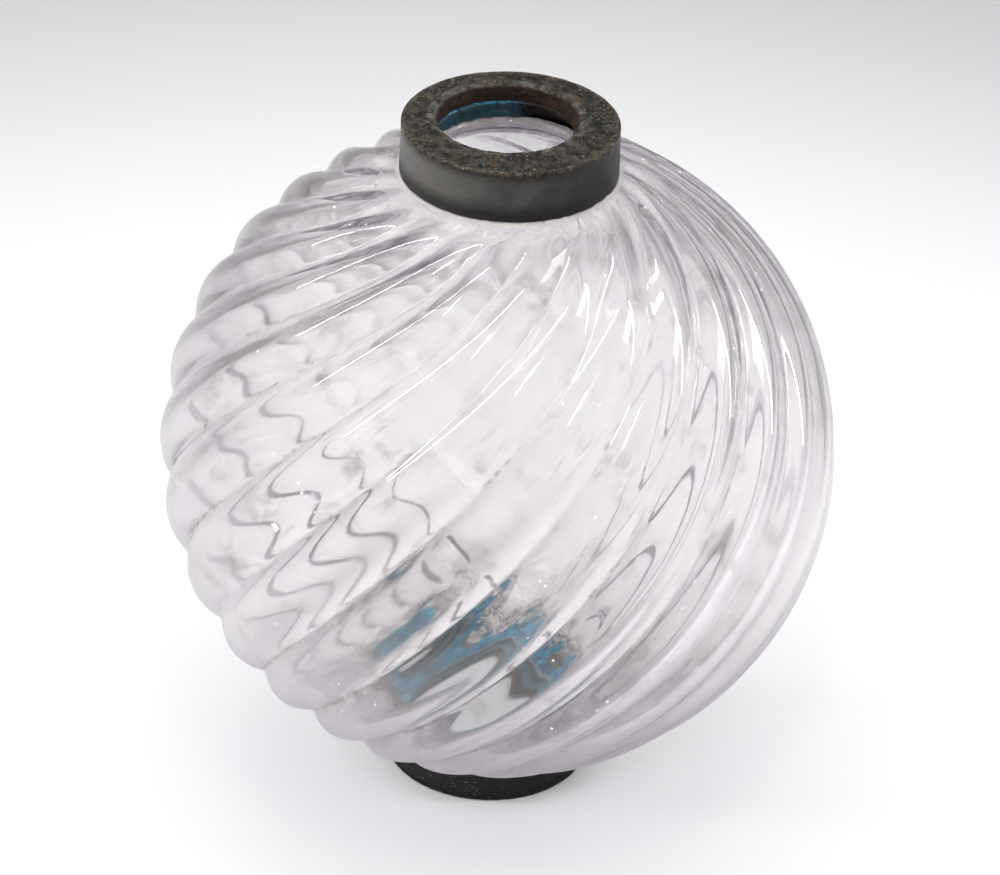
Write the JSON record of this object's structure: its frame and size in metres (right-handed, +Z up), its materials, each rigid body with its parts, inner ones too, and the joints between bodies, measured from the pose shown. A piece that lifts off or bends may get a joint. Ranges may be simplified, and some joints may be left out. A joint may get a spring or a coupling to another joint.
{
  "type": "lightning rod ball",
  "caption": "Hollow glass globe with swirled ribs and a dark metal cap at each pole, pierced along its axis so that it slides onto a lightning rod.",
  "frame": {"origin": "middle of the bottom cap's underside, on which the ball stands", "axes": "+Z up along the line of the rod, through the middle of both caps"},
  "size_m": [0.12, 0.12, 0.13],
  "materials": {
    "violet_glass": "clear, pale violet",
    "weathered_cap_metal": "weathered, satin",
    "blue_compound": "matt"
  },
  "bodies": {
    "root": {"glass_globe": "violet_glass", "top_cap": "weathered_cap_metal", "bottom_cap": "weathered_cap_metal", "top_sealing_bead": "blue_compound", "bottom_sealing_bead": "blue_compound"}
  },
  "joints": []
}
